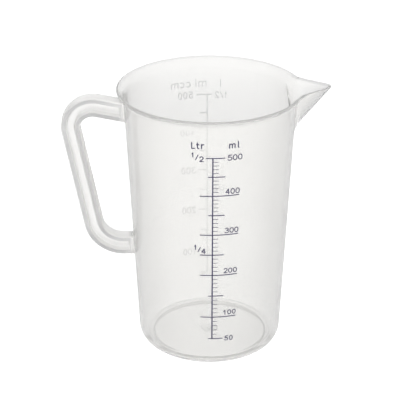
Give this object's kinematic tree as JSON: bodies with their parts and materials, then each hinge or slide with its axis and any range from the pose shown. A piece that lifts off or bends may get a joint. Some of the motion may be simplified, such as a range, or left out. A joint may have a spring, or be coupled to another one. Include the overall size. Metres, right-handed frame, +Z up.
{
  "type": "measuring jug",
  "caption": "Tapered half-litre measuring jug in translucent plastic, with flared lip, pouring spout, ribbed open handle and printed and raised volume scales.",
  "frame": {"origin": "on the beaker's axis, in the plane of the standing ring, at table level", "axes": "+Z up along the beaker's axis, +X towards the spout, handle on -X, printed scale on -Y, raised scale on +Y"},
  "size_m": [0.1328, 0.0918, 0.137],
  "materials": {
    "clear_plastic": "smooth translucent natural polypropylene",
    "dark_ink": "screen-printed blue-black ink"
  },
  "bodies": {
    "root": {"cup_wall": "clear_plastic", "cup_base": "clear_plastic", "rim_lip": "clear_plastic", "pour_spout": "clear_plastic", "handle_outer_flange": "clear_plastic", "handle_web": "clear_plastic", "handle_inner_flange": "clear_plastic", "handle_upper_pad": "clear_plastic", "handle_lower_pad": "clear_plastic", "gate_mark": "clear_plastic", "relief_spine": "clear_plastic", "relief_volume_lines": "clear_plastic", "relief_ml_numbers": "clear_plastic", "relief_litre_fractions": "clear_plastic", "relief_unit_labels": "clear_plastic", "print_spine": "dark_ink", "print_long_lines": "dark_ink", "print_short_lines": "dark_ink", "print_10ml_ticks": "dark_ink", "print_ml_numbers": "dark_ink", "print_litre_fractions": "dark_ink", "print_unit_labels": "dark_ink"}
  },
  "joints": []
}
